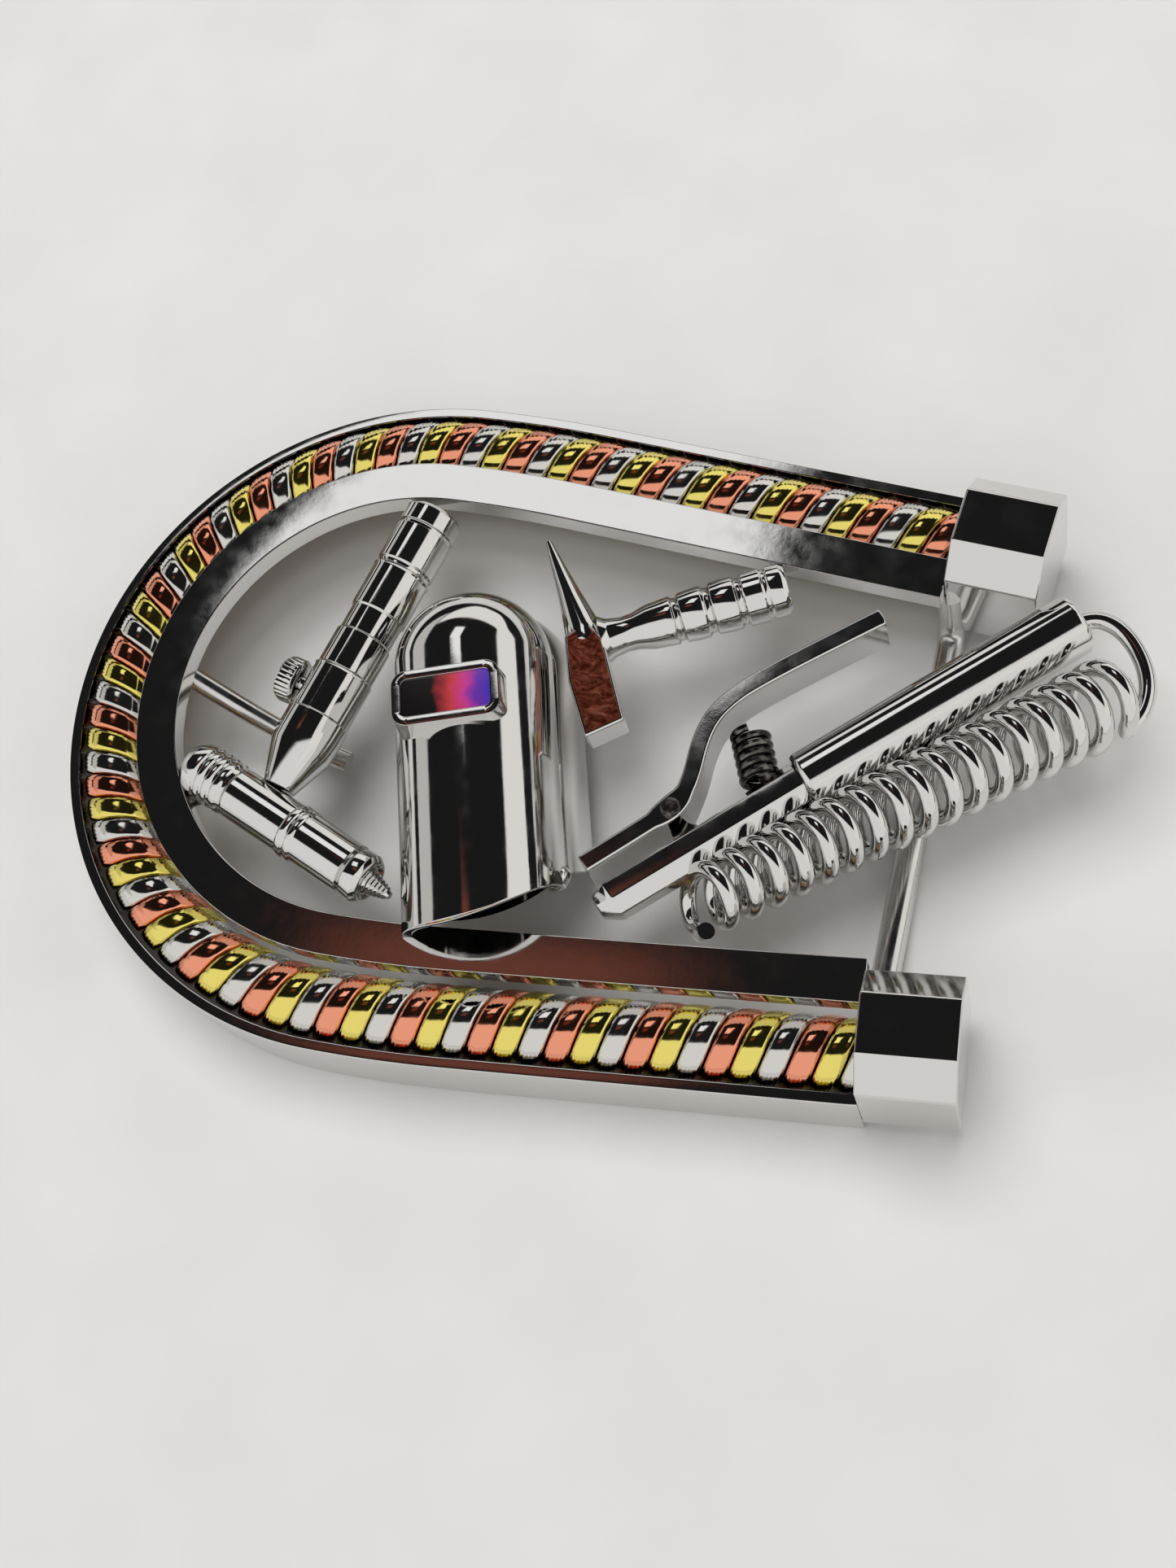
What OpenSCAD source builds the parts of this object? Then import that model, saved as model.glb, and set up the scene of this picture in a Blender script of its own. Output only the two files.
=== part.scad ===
// Welder's belt buckle: a horseshoe frame with a three-colour twisted rope, filled with miniature
// welding tools. It lies on its back: +Z is the front, +X the open end with the two end caps.

/* [Horseshoe] */
// Radius of the closed end, measured on the outer edge of the inner bar
bow_radius = 26.9; // [26:0.1:28]
// Radius of the shallow bend between the closed end and each straight arm
shoulder_radius = 133; // [120:1:150]
// Angle by which each arm leans towards the other
taper = 5.6; // [5:0.1:6]
// Length of each straight arm up to its end cap
arm_length = 39; // [38:0.1:40]
// Height of the front edge of the inner bar above the back of the buckle
ridge_z = 12; // [11.5:0.1:12.5]
// Width of the inner bar's front face
bar_width = 4.2; // [3.8:0.1:4.4]
// Thickness of the inner bar
bar_thick = 2.4; // [2:0.1:2.8]

/* [Rope and outer band] */
// Outer radius of the twisted rope
rope_radius = 3.6; // [3.4:0.05:3.7]
// Distance from the inner bar's outer edge to the rope's axis
rope_offset = 3.7; // [3.6:0.05:3.8]
// Height of the rope's axis
rope_z = 7.2; // [7:0.1:7.5]
// Length of rope in which each strand makes one turn
rope_pitch = 7.5; // [7.2:0.05:7.8]
// Where the copper strand starts round the rope, in degrees
rope_phase = 20; // [0:5:115]
// Distance from the inner bar's outer edge to the outer band
band_offset = 7.5; // [7.4:0.1:7.6]
// Thickness of the outer band
band_thick = 1.1; // [0.9:0.1:1.2]
// Height of the outer band's front edge
band_z = 8.8; // [8.5:0.1:9]

/* [End caps] */
// Length of each end cap along its arm
cap_length = 9; // [8.5:0.1:9.5]
// Height of an end cap's front face
cap_z = 16; // [15.5:0.1:16.5]
// Width of the long bevels on an end cap's front
cap_bevel = 3; // [2.5:0.1:3.2]

/* [Tools] */
// Height of the middle of the tools
tool_z = 11; // [10.8:0.1:11.2]
// Outer radius of the helmet's round face
helmet_radius = 8; // [7.9:0.1:8.1]
// Turns of wire in the curly lead
lead_turns = 17; // [16:1:18]
// Radius of the curly lead's wire
lead_wire = 0.75; // [0.7:0.05:0.8]

/* [Back] */
// Radius of the strap bail and hook wire
bail_wire = 1.4; // [1.3:0.05:1.5]
// Distance of the strap bail from the closed end
bail_x = 78.8; // [78.6:0.1:79]
// Radius of the hook that holds the belt's tip
hook_wire = 1.1; // [1:0.05:1.2]

/* [Hidden] */
$fn = 96;
// The frame's back is at z 0 and the closed end's ridge at x 0 until the whole buckle is centred
left_edge = -(band_offset + band_thick);
right_edge = 99.9;
centre_x = (left_edge + right_edge) / 2;
steel = [0.80, 0.80, 0.79];
dark_steel = [0.30, 0.29, 0.28];
copper = [0.85, 0.50, 0.36];
brass = [0.86, 0.80, 0.42];

// ---- the horseshoe's line: s runs from the closed end, positive up the upper arm ----
function bow_end(w) = PI / 2 * (bow_radius + w);
function shoulder_end(w) = bow_end(w) + (shoulder_radius + w) * taper * PI / 180;
function line_end(w) = shoulder_end(w) + arm_length;
function upper_point(s, w) =
    s < bow_end(w) ?
        let (a = s / (bow_radius + w) * 180 / PI)
        [bow_radius - (bow_radius + w) * cos(a), (bow_radius + w) * sin(a)]
    : s < shoulder_end(w) ?
        let (a = (s - bow_end(w)) / (shoulder_radius + w) * 180 / PI)
        [bow_radius + (shoulder_radius + w) * sin(a),
         bow_radius - shoulder_radius + (shoulder_radius + w) * cos(a)]
    :
        let (d = s - shoulder_end(w))
        [bow_radius + (shoulder_radius + w) * sin(taper) + d * cos(taper),
         bow_radius - shoulder_radius + (shoulder_radius + w) * cos(taper) - d * sin(taper)];
function upper_normal(s, w) =
    s < bow_end(w) ?
        let (a = s / (bow_radius + w) * 180 / PI) [-cos(a), sin(a)]
    : let (a = min((s - bow_end(w)) / (shoulder_radius + w) * 180 / PI, taper)) [sin(a), cos(a)];
function mirrored(p, s) = [p.x, s < 0 ? -p.y : p.y];
function line_point(s, w) = mirrored(upper_point(abs(s), w), s);
function line_normal(s, w) = mirrored(upper_normal(abs(s), w), s);

// Sweeps rings of points into one closed tube; full picks the diagonals that bulge on a twisted one
module tube(rings, full = false) {
    m = len(rings[0]);
    n = len(rings);
    lower = [for (i = [0:n - 2], j = [0:m - 1])
        [i * m + j, i * m + (j + 1) % m, (i + 1) * m + (full ? j : (j + 1) % m)]];
    upper = [for (i = [0:n - 2], j = [0:m - 1])
        [i * m + (full ? (j + 1) % m : j), (i + 1) * m + (j + 1) % m, (i + 1) * m + j]];
    start = [for (j = [1:m - 2]) [0, j + 1, j]];
    end = [for (j = [1:m - 2]) [(n - 1) * m, (n - 1) * m + j, (n - 1) * m + j + 1]];
    polyhedron([for (r = rings, p = r) p], concat(lower, upper, start, end));
}

// Sweeps a profile of [distance outwards, height] points all round the horseshoe
module horseshoe(profile, length = arm_length) {
    translate([bow_radius, 0, 0]) rotate([0, 0, 90])
        rotate_extrude(angle = 180, $fn = 180)
            polygon([for (p = profile) [bow_radius + p.x, p.y]]);
    for (side = [0, 1]) mirror([0, side, 0]) {
        translate([bow_radius, bow_radius - shoulder_radius, 0]) rotate([0, 0, 90 - taper])
            rotate_extrude(angle = taper, $fn = 720)
                polygon([for (p = profile) [shoulder_radius + p.x, p.y]]);
        arm(profile, 0, length);
    }
}

// One straight run of a profile along the upper arm
module arm(profile, first, length) {
    translate([bow_radius, bow_radius - shoulder_radius, 0]) rotate([0, 0, -taper])
        translate([first, shoulder_radius, 0]) rotate([90, 0, 90])
            linear_extrude(length) polygon(profile);
}

// A turned piece: steps of [distance along the axis, radius] from point a towards point b
module turned(a, b, z, steps) {
    translate([a.x, a.y, z]) rotate([0, 90, atan2(b.y - a.y, b.x - a.x)])
        rotate_extrude() polygon(concat([[0, steps[0].x]],
            [for (s = steps) [s.y, s.x]], [[0, steps[len(steps) - 1].x]]));
}

module round_bar(a, b, r) {
    d = b - a;
    translate(a) rotate([0, acos(d.z / norm(d)), atan2(d.y, d.x)]) cylinder(h = norm(d), r = r);
}

// ---- frame ----
module inner_bar() {
    color(steel) horseshoe([[-bar_width, ridge_z - bar_thick], [0, ridge_z - bar_thick],
        [0, ridge_z], [-bar_width, ridge_z]]);
}

module outer_band() {
    color(steel) horseshoe([[band_offset, 0], [band_offset + band_thick, 0],
        [band_offset + band_thick, band_z], [band_offset, band_z]]);
}

// One strand: a third of the rope's section, domed outside, turning as it runs along the rope
strand_section = [[0.4, 0], [2.6, 56], [3.3, 38], [rope_radius, 0], [3.3, -38], [2.6, -56]];
strand_steps = 312;
module strand(start_angle) {
    half = line_end(rope_offset) - 0.02;
    tube([for (i = [0:strand_steps])
        let (s = half * (2 * i / strand_steps - 1),
             turn = start_angle - 360 * s / rope_pitch,
             c = line_point(s, rope_offset),
             n = line_normal(s, rope_offset))
        [for (p = strand_section)
            let (a = p[1] + turn, out = p[0] * cos(a))
            [c.x + out * n.x, c.y + out * n.y, rope_z + p[0] * sin(a)]]], true);
}
module rope_copper() {
    color(copper) strand(rope_phase);
}
module rope_brass() {
    color(brass) strand(rope_phase - 120);
}
module rope_steel() {
    color(steel) strand(rope_phase + 120);
}

cap_back_z = 3;
cap_inner = -2.9;
cap_outer = 8.7;
module end_cap() {
    color(steel) arm([[cap_inner, cap_back_z], [cap_outer, cap_back_z], [cap_outer, cap_z - cap_bevel],
        [cap_outer - cap_bevel, cap_z], [cap_inner + cap_bevel, cap_z],
        [cap_inner, cap_z - cap_bevel]], arm_length, cap_length);
}
module upper_cap() {
    end_cap();
}
module lower_cap() {
    mirror([0, 1, 0]) end_cap();
}

// ---- torch ----
torch_foot = [17.6, -10.8];
torch_top = [25.6, 21.5];
module torch_handle() {
    color(steel) turned(torch_foot, torch_top, tool_z, [[0, 1.7], [4.3, 3.25], [6.3, 3.3],
        [8.0, 3.3], [8.0, 3.15], [13.2, 3.15], [13.2, 3.0], [17.6, 3.0], [17.6, 2.8], [20.3, 2.8],
        [20.3, 3.0], [25.4, 3.0], [25.4, 2.85], [26.0, 2.85], [26.0, 3.05], [30.3, 3.05]]);
}
module torch_end_cap() {
    color(steel) turned(torch_foot, torch_top, tool_z, [[30.3, 2.8], [30.7, 2.8], [30.7, 3.05],
        [32.6, 3.05], [33.0, 2.7]]);
}
knob_root = [20.2, -0.3];
knob_axis = [-0.9707, 0.2404];
knob_from = 3.5;
knob_length = 2.2;
stem_radius = 0.8;
running_gap = 0.05;
module knob_stem() {
    a = knob_root + 2.9 * knob_axis;
    color(steel) turned(a, a + knob_axis, tool_z, [[0, stem_radius], [2.3, stem_radius]]);
}
module torch_knob() {
    a = knob_root + knob_from * knob_axis;
    color(steel) difference() {
        turned(a, a + knob_axis, tool_z, [[0, 2.0], [0.3, 2.4], [1.9, 2.4], [knob_length, 2.0]]);
        turned(a - knob_axis, a, tool_z, [[0, stem_radius + running_gap],
            [2.8, stem_radius + running_gap]]);
    }
}
head_back = [7.3, -9.4];
head_tip = [32.1, -19.8];
module torch_back_cap() {
    color(steel) turned(head_back, head_tip, tool_z, [[0, 1.0], [0.4, 1.9], [1.5, 2.9], [2.6, 2.9],
        [2.6, 2.6], [3.2, 2.6], [3.2, 2.9], [4.2, 2.9], [4.2, 2.6], [4.8, 2.6], [4.8, 2.85],
        [5.8, 2.85], [6.6, 2.6]]);
}
module torch_head() {
    color(steel) turned(head_back, head_tip, tool_z, [[6.6, 2.7], [14.3, 2.7], [14.3, 2.9],
        [15.8, 2.9], [15.8, 2.7], [22.0, 2.7]]);
}
module torch_nozzle() {
    color(steel) turned(head_back, head_tip, tool_z, [[22.0, 2.5], [22.4, 2.5], [22.4, 2.65],
        [23.9, 2.65], [24.4, 2.1]]);
}
module torch_electrode() {
    color(steel) turned(head_back, head_tip, tool_z, [[24.4, 1.4], [26.5, 0.7], [26.9, 0.4]]);
}

// ---- helmet ----
helmet_crown = [34.2, 4.5];
helmet_chin = [42.6, -22.2];
helmet_z = 10.8;
helmet_wall = 1;
helmet_turn = atan2(helmet_chin.y - helmet_crown.y, helmet_chin.x - helmet_crown.x);
helmet_length = norm(helmet_chin - helmet_crown) + 2;
jaw_centre = [35.5, -8];
jaw_radius = 15.2;
back_depth = 6.8;
back_radius = 8.7;
back_shift = 0.8;
// Places a shape drawn with its crown at the origin and the chin towards +X
module on_helmet(z) {
    translate([helmet_crown.x, helmet_crown.y, z]) rotate([0, 0, helmet_turn]) children();
}
module helmet_form(r, length) {
    sphere(r);
    rotate([0, 90, 0]) cylinder(h = length, r = r);
}
// Everything beyond the round chin line
module below_chin() {
    difference() {
        translate([10, -50, 0]) cube([60, 50 + jaw_centre.y, 30]);
        translate([jaw_centre.x, jaw_centre.y, -1]) cylinder(h = 40, r = jaw_radius);
    }
}
module helmet_shell() {
    color(steel) difference() {
        on_helmet(helmet_z) difference() {
            helmet_form(helmet_radius, helmet_length);
            helmet_form(helmet_radius - helmet_wall, helmet_length + 1);
            translate([-20, -20, -20]) cube([60, 40, 20]);
        }
        below_chin();
        on_helmet(helmet_z) lens_block();
    }
}
module helmet_back() {
    color(steel) difference() {
        translate([back_shift, 0, 0]) on_helmet(helmet_z - back_depth) {
            cylinder(h = back_depth, r = back_radius);
            translate([0, -back_radius, 0]) cube([helmet_length, 2 * back_radius, back_depth]);
        }
        below_chin();
    }
}
lens_at = 3.2;
lens_shift = -0.9;
lens_length = 10.6;
lens_height = 5.8;
lens_top = 8.8;
lens_rim = 0.9;
module lens_block() {
    translate([lens_at, lens_shift - lens_length / 2, helmet_radius - 3.6])
        cube([lens_height, lens_length, lens_top - helmet_radius + 3.6]);
}
module lens_frame() {
    color(steel) on_helmet(helmet_z) difference() {
        lens_block();
        translate([lens_at + lens_rim, lens_shift - lens_length / 2 + lens_rim, lens_top - 0.9])
            cube([lens_height - 2 * lens_rim, lens_length - 2 * lens_rim, 1]);
    }
}
module helmet_lens() {
    side = lens_rim + 0.02;
    color([0.35, 0.08, 0.45]) on_helmet(helmet_z)
        translate([lens_at + side, lens_shift - lens_length / 2 + side, lens_top - 0.88])
            cube([lens_height - 2 * side, lens_length - 2 * side, 0.6]);
}
module helmet_pivot() {
    color(steel) translate([48.2, -15.5, 11.4]) sphere(1.1);
}

// ---- chipping hammer ----
hammer_tip = [38.0, 20.0];
hammer_hub = [45.0, 9.2];
module hammer_head() {
    color(steel) {
        turned(hammer_hub, hammer_tip, tool_z, [[-0.6, 1.9], [2.0, 1.8],
            [norm(hammer_tip - hammer_hub), 0.35]]);
        translate([0, 0, tool_z - 1.6]) linear_extrude(3.2)
            polygon([[43.2, 8.6], [44.6, 4.2], [47.6, -1.3], [51.0, 1.0], [48.6, 5.6], [46.6, 9.6],
                [44.8, 10.6]]);
    }
}
handle_start = [46.4, 9.7];
handle_end = [63.8, 18.0];
module hammer_handle() {
    color(steel) turned(handle_start, handle_end, tool_z, [[0, 1.6], [3.0, 1.5], [4.6, 2.0],
        [7.4, 2.1], [7.4, 1.9], [8.0, 1.9], [8.0, 2.2], [10.6, 2.3], [10.6, 2.0], [11.2, 2.0],
        [11.2, 2.3], [13.8, 2.3], [13.8, 2.1], [14.4, 2.1], [14.4, 2.4], [18.4, 2.4],
        [18.9, 2.1]]);
}

// ---- electrode holder ----
jaw_tip = [52.4, -17.5];
collar = [68.9, -2.3];
grip_end = [91.4, 17.9];
holder_turn = atan2(collar.y - jaw_tip.y, collar.x - jaw_tip.x);
body_radius = 2.4;
pivot = [57.7, -7.5];
pin_radius = 0.55;
module on_holder(z) {
    translate([jaw_tip.x, jaw_tip.y, z]) rotate([0, 0, holder_turn]) children();
}
module holder_body() {
    color(steel) on_holder(tool_z) difference() {
        union() {
            rotate([0, 90, 0]) rotate([0, 0, 22.5])
                cylinder(h = norm(collar - jaw_tip), r = body_radius, $fn = 8);
        }
        translate([-1, 1.1, -3]) cube([9, 3, 6]);
    }
}
module holder_grip() {
    length = norm(grip_end - collar);
    color(steel) turned(collar, grip_end, tool_z, [[0, 2.5], [0.5, 3.0], [length - 0.5, 3.0],
        [length, 2.7]]);
}
// The lug stands behind the lever's eye and carries its pin
lug_top = 8.2;
module holder_lug() {
    color(steel) {
        translate([pivot.x, pivot.y, 6.9]) cylinder(h = lug_top - 6.9, r = 1.3);
        translate([pivot.x, pivot.y, 6.9]) rotate([0, 0, holder_turn - 90]) {
            translate([0, -1.3, 0]) cube([5.0, 2.6, lug_top - 6.9]);
            translate([2.6, -1.3, 0]) cube([2.4, 2.6, 2.2]);
        }
    }
}
module lever_pin() {
    color(dark_steel) {
        translate([pivot.x, pivot.y, lug_top]) cylinder(h = lever_top + 0.35 - lug_top, r = pin_radius);
        translate([pivot.x, pivot.y, lever_top + 0.1]) cylinder(h = 0.5, r = 1.1);
    }
}
lever_line = [[50.6, -14.3], [54.2, -10.9], pivot, [58.9, -5.0], [58.9, 0.6], [60.2, 3.8],
    [63.2, 6.9], [73.6, 15.0]];
lever_half = 0.9;
eye_half = 1.25;
lever_depth = 5;
lever_top = tool_z + lever_depth / 2;
// Cuts each corner of a line in two, twice over, to bend it smoothly
function cut_corners(p) = concat([p[0]],
    [for (i = [0:len(p) - 2], f = [0.25, 0.75]) p[i] + f * (p[i + 1] - p[i])], [p[len(p) - 1]]);
function half_at(q) = lever_half + (eye_half - lever_half) * max(0, 1 - pow(norm(q - pivot) / 2.2, 2));
lever_path = cut_corners(cut_corners(lever_line));
function side_of(p, i, k) =
    let (t = step_at(p, i) / norm(step_at(p, i)))
    p[i] + k * half_at(p[i]) * [-t.y, t.x];
module holder_lever() {
    n = len(lever_path);
    color(steel) difference() {
        translate([0, 0, tool_z - lever_depth / 2]) linear_extrude(lever_depth)
            polygon(concat([for (i = [0:n - 1]) side_of(lever_path, i, i == 0 || i == n - 1 ? 0.5 : 1)],
                [for (i = [n - 1:-1:0]) side_of(lever_path, i, i == 0 || i == n - 1 ? -0.5 : -1)]));
        translate([pivot.x, pivot.y, 0]) cylinder(h = 20, r = pin_radius + running_gap);
    }
}
spring_top = [62.95, 2.05];
spring_foot = [65.1, -2.95];
spring_turns = 6;
spring_radius = 1.6;
spring_wire = 0.4;

// A coil of round wire along a straight axis, its coil radius running from r0 to r1
module coil(a, b, r0, r1, wire, turns, start_angle, steps, sides, lean = 0) {
    d = (b - a) / norm(b - a);
    across = [-d.y, d.x];
    rise = norm(b - a) / turns;
    tube([for (i = [0:turns * steps])
        let (t = i / steps, ang = start_angle + 360 * t, f = t / turns,
             r = r0 + (r1 - r0) * f,
             c = a + (b - a) * f,
             slope = atan2(rise, 2 * PI * r),
             shift = lean * (r * sin(ang)))
        [for (j = [0:sides - 1])
            let (q = 360 * j / sides,
                 out = r + wire * cos(q),
                 along = wire * sin(q) * cos(slope) - shift,
                 back = -wire * sin(q) * sin(slope),
                 u = out * cos(ang) - back * sin(ang),
                 v = out * sin(ang) + back * cos(ang))
            [c.x + along * d.x + u * across.x, c.y + along * d.y + u * across.y, tool_z + v]]]);
}
module lever_spring() {
    color(dark_steel) coil(spring_top, spring_foot, spring_radius, spring_radius, spring_wire,
        spring_turns, 90, 12, 6);
}
coil_start = [95.2, 10.3];
coil_end = [61.4, -15.8];
// How far each turn's front leans along the coil, for each unit of height
lead_lean = 0.5;
module lead_coil() {
    color(steel) coil(coil_start, coil_end, 3.4, 2.75, lead_wire, lead_turns, 0, 14, 6, lead_lean);
}
// Points along the lead from the grip to the first turn
tail_line = [[90.6, 17.2], [92.2, 18.3], [94.0, 18.4], [96.0, 17.2], [97.8, 14.8], [98.7, 12.2],
    [98.6, 9.8], [97.9, 8.3], [97.2, 7.5]];

// A wire swept through points on one level, or through points that carry their own height
function step_at(p, i) = p[min(i + 1, len(p) - 1)] - p[max(i - 1, 0)];
module wire_run(p, z, r, sides) {
    tube([for (i = [0:len(p) - 1])
        let (t = step_at(p, i) / norm(step_at(p, i)))
        [for (j = [0:sides - 1])
            let (q = -360 * j / sides)
            [p[i].x - r * cos(q) * t.y, p[i].y + r * cos(q) * t.x, z[i] + r * sin(q)]]]);
}
module lead_tail() {
    color(steel) wire_run(tail_line, [for (p = tail_line) tool_z], lead_wire, 10);
}

// ---- back ----
bail_reach = 20.2;
module strap_bail() {
    color(steel) {
        translate([bail_x, -bail_reach, bail_wire]) rotate([-90, 0, 0])
            cylinder(h = 2 * bail_reach, r = bail_wire);
        for (side = [-1, 1]) translate([bail_x, side * bail_reach, bail_wire]) {
            sphere(bail_wire);
            cylinder(h = ridge_z - bar_thick - bail_wire - 0.02, r = bail_wire);
        }
    }
}
hook_line = [[3.4, 0.5], [7.0, -0.7], [12.0, -2.2], [16.0, -3.2], [19.0, -3.8], [20.6, -4.1]];
hook_heights = [9.0, 7.6, 5.4, 4.0, 3.3, 3.0];
module belt_hook() {
    color(steel) wire_run(hook_line, hook_heights, hook_wire, 12);
}
// A short strut that ties the torch head to the closed end
module bow_strut() {
    color(steel) round_bar([8.0, -13.9, 10.8], [9.4, -12.4, 9.6], 0.7);
}

module placed() {
    translate([-centre_x, 0, 0]) children();
}

placed() inner_bar();
placed() outer_band();
placed() rope_copper();
placed() rope_brass();
placed() rope_steel();
placed() upper_cap();
placed() lower_cap();
placed() torch_end_cap();
placed() torch_handle();
placed() knob_stem();
placed() torch_knob();
placed() torch_head();
placed() torch_back_cap();
placed() torch_nozzle();
placed() torch_electrode();
placed() helmet_shell();
placed() helmet_back();
placed() lens_frame();
placed() helmet_lens();
placed() helmet_pivot();
placed() hammer_head();
placed() hammer_handle();
placed() holder_body();
placed() holder_grip();
placed() holder_lug();
placed() lever_pin();
placed() holder_lever();
placed() lever_spring();
placed() lead_coil();
placed() lead_tail();
placed() strap_bail();
placed() belt_hook();
placed() bow_strut();
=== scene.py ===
"""Welder's belt buckle: a horseshoe of twisted rope round miniature welding tools.

Run as a script in Blender. It loads the measured model, then shapes and finishes each piece.
Lengths are in millimetres until a piece is placed, with x 0 at the closed end's ridge.
"""
import math
import bpy
import bmesh
from mathutils import Matrix, Vector
from bpy.props import FloatProperty, FloatVectorProperty, IntProperty, PointerProperty
from bpy.types import Operator, Panel, PropertyGroup


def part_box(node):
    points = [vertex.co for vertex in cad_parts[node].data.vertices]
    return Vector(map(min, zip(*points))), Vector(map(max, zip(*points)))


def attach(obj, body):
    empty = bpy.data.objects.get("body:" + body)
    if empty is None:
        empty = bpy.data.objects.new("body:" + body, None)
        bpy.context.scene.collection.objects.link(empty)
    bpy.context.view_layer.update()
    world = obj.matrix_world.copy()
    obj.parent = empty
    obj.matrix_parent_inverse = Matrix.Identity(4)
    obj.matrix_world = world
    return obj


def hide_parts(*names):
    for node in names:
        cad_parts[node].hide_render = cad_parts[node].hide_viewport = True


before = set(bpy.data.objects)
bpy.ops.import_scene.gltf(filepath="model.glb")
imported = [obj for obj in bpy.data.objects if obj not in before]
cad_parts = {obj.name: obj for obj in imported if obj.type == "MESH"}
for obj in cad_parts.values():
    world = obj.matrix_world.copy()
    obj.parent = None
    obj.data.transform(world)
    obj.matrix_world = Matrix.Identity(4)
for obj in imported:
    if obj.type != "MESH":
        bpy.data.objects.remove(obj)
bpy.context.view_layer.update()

bl_info = {
    "name": "Welder's belt buckle",
    "version": (1, 0, 0),
    "blender": (4, 5, 0),
    "location": "View3D > Sidebar > Buckle",
    "description": "Builds a horseshoe belt buckle with miniature welding tools",
    "category": "Add Mesh",
}

MM = 0.001
MERGE = 1e-4  # points nearer than this, in mm, are one point
FULL_TURN = 2 * math.pi
BAND_OUTER = 8.6
RIDGE_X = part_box("outer_band")[0].x / MM + BAND_OUTER
TOOL_Z = 11.0
X_AXIS, Z_AXIS = Vector((1, 0, 0)), Vector((0, 0, 1))


# ---- colours and finishes ----

def linear(hex_code):
    """An sRGB hex colour as linear red, green, blue and alpha."""
    values = [int(hex_code[i:i + 2], 16) / 255 for i in (0, 2, 4)]
    return [v / 12.92 if v <= 0.04045 else ((v + 0.055) / 1.055) ** 2.4 for v in values] + [1.0]


def add(tree, kind, inputs=None, **settings):
    """Adds a node, sets its options, and fills its sockets with values or links."""
    made = tree.nodes.new(kind)
    for key, value in settings.items():
        setattr(made, key, value)
    for socket, value in (inputs or {}).items():
        if isinstance(value, bpy.types.NodeSocket):
            tree.links.new(value, made.inputs[socket])
        else:
            made.inputs[socket].default_value = value
    return made


def finish(name):
    """A named finish, made the first time that a piece asks for it."""
    if name in bpy.data.materials:
        return bpy.data.materials[name]
    material = bpy.data.materials.new(name)
    material.use_nodes = True
    tree = material.node_tree
    tree.nodes.clear()
    surface = FINISHES[name](tree, bpy.context.scene.buckle_colours)
    output = add(tree, "ShaderNodeOutputMaterial")
    tree.links.new(surface.outputs[0], output.inputs["Surface"])
    return material


def ramp(tree, value, stops):
    """A colour ramp through (position, linear colour) stops."""
    made = add(tree, "ShaderNodeValToRGB", {"Fac": value})
    elements = made.color_ramp.elements
    while len(elements) < len(stops):
        elements.new(0.5)
    for element, (place, colour) in zip(elements, stops):
        element.position, element.color = place, colour
    return made.outputs["Color"]


def grey(value):
    """A linear grey with alpha."""
    return (value, value, value, 1.0)


def polished(tree, colour, rough=(0.035, 0.11), lines=0.6, cloud=0.9):
    """Buffed metal: near-mirror, with buffing lines about 0.1 mm apart and cloudy patches."""
    place = add(tree, "ShaderNodeTexCoord").outputs["Object"]
    tilted = add(tree, "ShaderNodeMapping", {"Vector": place, "Rotation": (0.3, 0.2, 0.9),
                 "Scale": (1500.0, 12000.0, 12000.0)}).outputs[0]
    streaks = add(tree, "ShaderNodeTexNoise", {"Vector": tilted, "Scale": 1.0, "Detail": 2.0}).outputs[0]
    patches = add(tree, "ShaderNodeTexNoise", {"Vector": place, "Scale": 420.0,
                  "Detail": 4.0}).outputs[0]
    spread = add(tree, "ShaderNodeMapRange", {"Value": patches, "From Min": 0.35, "From Max": 0.75,
                 "To Min": rough[0], "To Max": rough[1]}).outputs[0]
    wavy = add(tree, "ShaderNodeBump", {"Height": patches, "Strength": 0.12 * cloud,
               "Distance": 0.00006}).outputs[0]
    bump = add(tree, "ShaderNodeBump", {"Height": streaks, "Normal": wavy, "Strength": 0.05 * lines,
               "Distance": 0.00002}).outputs[0]
    return add(tree, "ShaderNodeBsdfPrincipled", {"Base Color": colour, "Metallic": 1.0,
               "Roughness": spread, "Normal": bump})


def mirror_steel(tree, colours):
    """Buffed 304 stainless: the black and white room shows sharply in it."""
    return polished(tree, (*colours.steel, 1.0))


def satin_steel(tree, colours):
    """Stainless rubbed with fine paper: the same colour, with a broad soft shine and drawn lines."""
    return polished(tree, (*colours.steel, 1.0), rough=(0.16, 0.30), lines=5.0, cloud=0.5)


def polished_copper(tree, colours):
    """Buffed copper bar: warm pink where it catches light, dark red-brown elsewhere."""
    return polished(tree, (*colours.copper, 1.0), rough=(0.06, 0.16))


def polished_brass(tree, colours):
    """Buffed yellow brass bar."""
    return polished(tree, (*colours.brass, 1.0), rough=(0.06, 0.16))


def nickel_silver(tree, colours):
    """The rope's white strand, a little warmer and softer than the steel."""
    return polished(tree, (*colours.nickel, 1.0), rough=(0.06, 0.16))


def dark_steel(tree, colours):
    """Heat-darkened spring steel: nearly black, with a worn shine on its crowns."""
    place = add(tree, "ShaderNodeTexCoord").outputs["Object"]
    grime = add(tree, "ShaderNodeTexNoise", {"Vector": place, "Scale": 900.0, "Detail": 5.0}).outputs[0]
    colour = ramp(tree, grime, [(0.35, linear("2A2725")), (0.65, linear("7C7772"))])
    bump = add(tree, "ShaderNodeBump", {"Height": grime, "Strength": 0.4,
               "Distance": 0.00005}).outputs[0]
    return add(tree, "ShaderNodeBsdfPrincipled", {"Base Color": colour, "Metallic": 1.0,
               "Roughness": 0.22, "Normal": bump})


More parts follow.
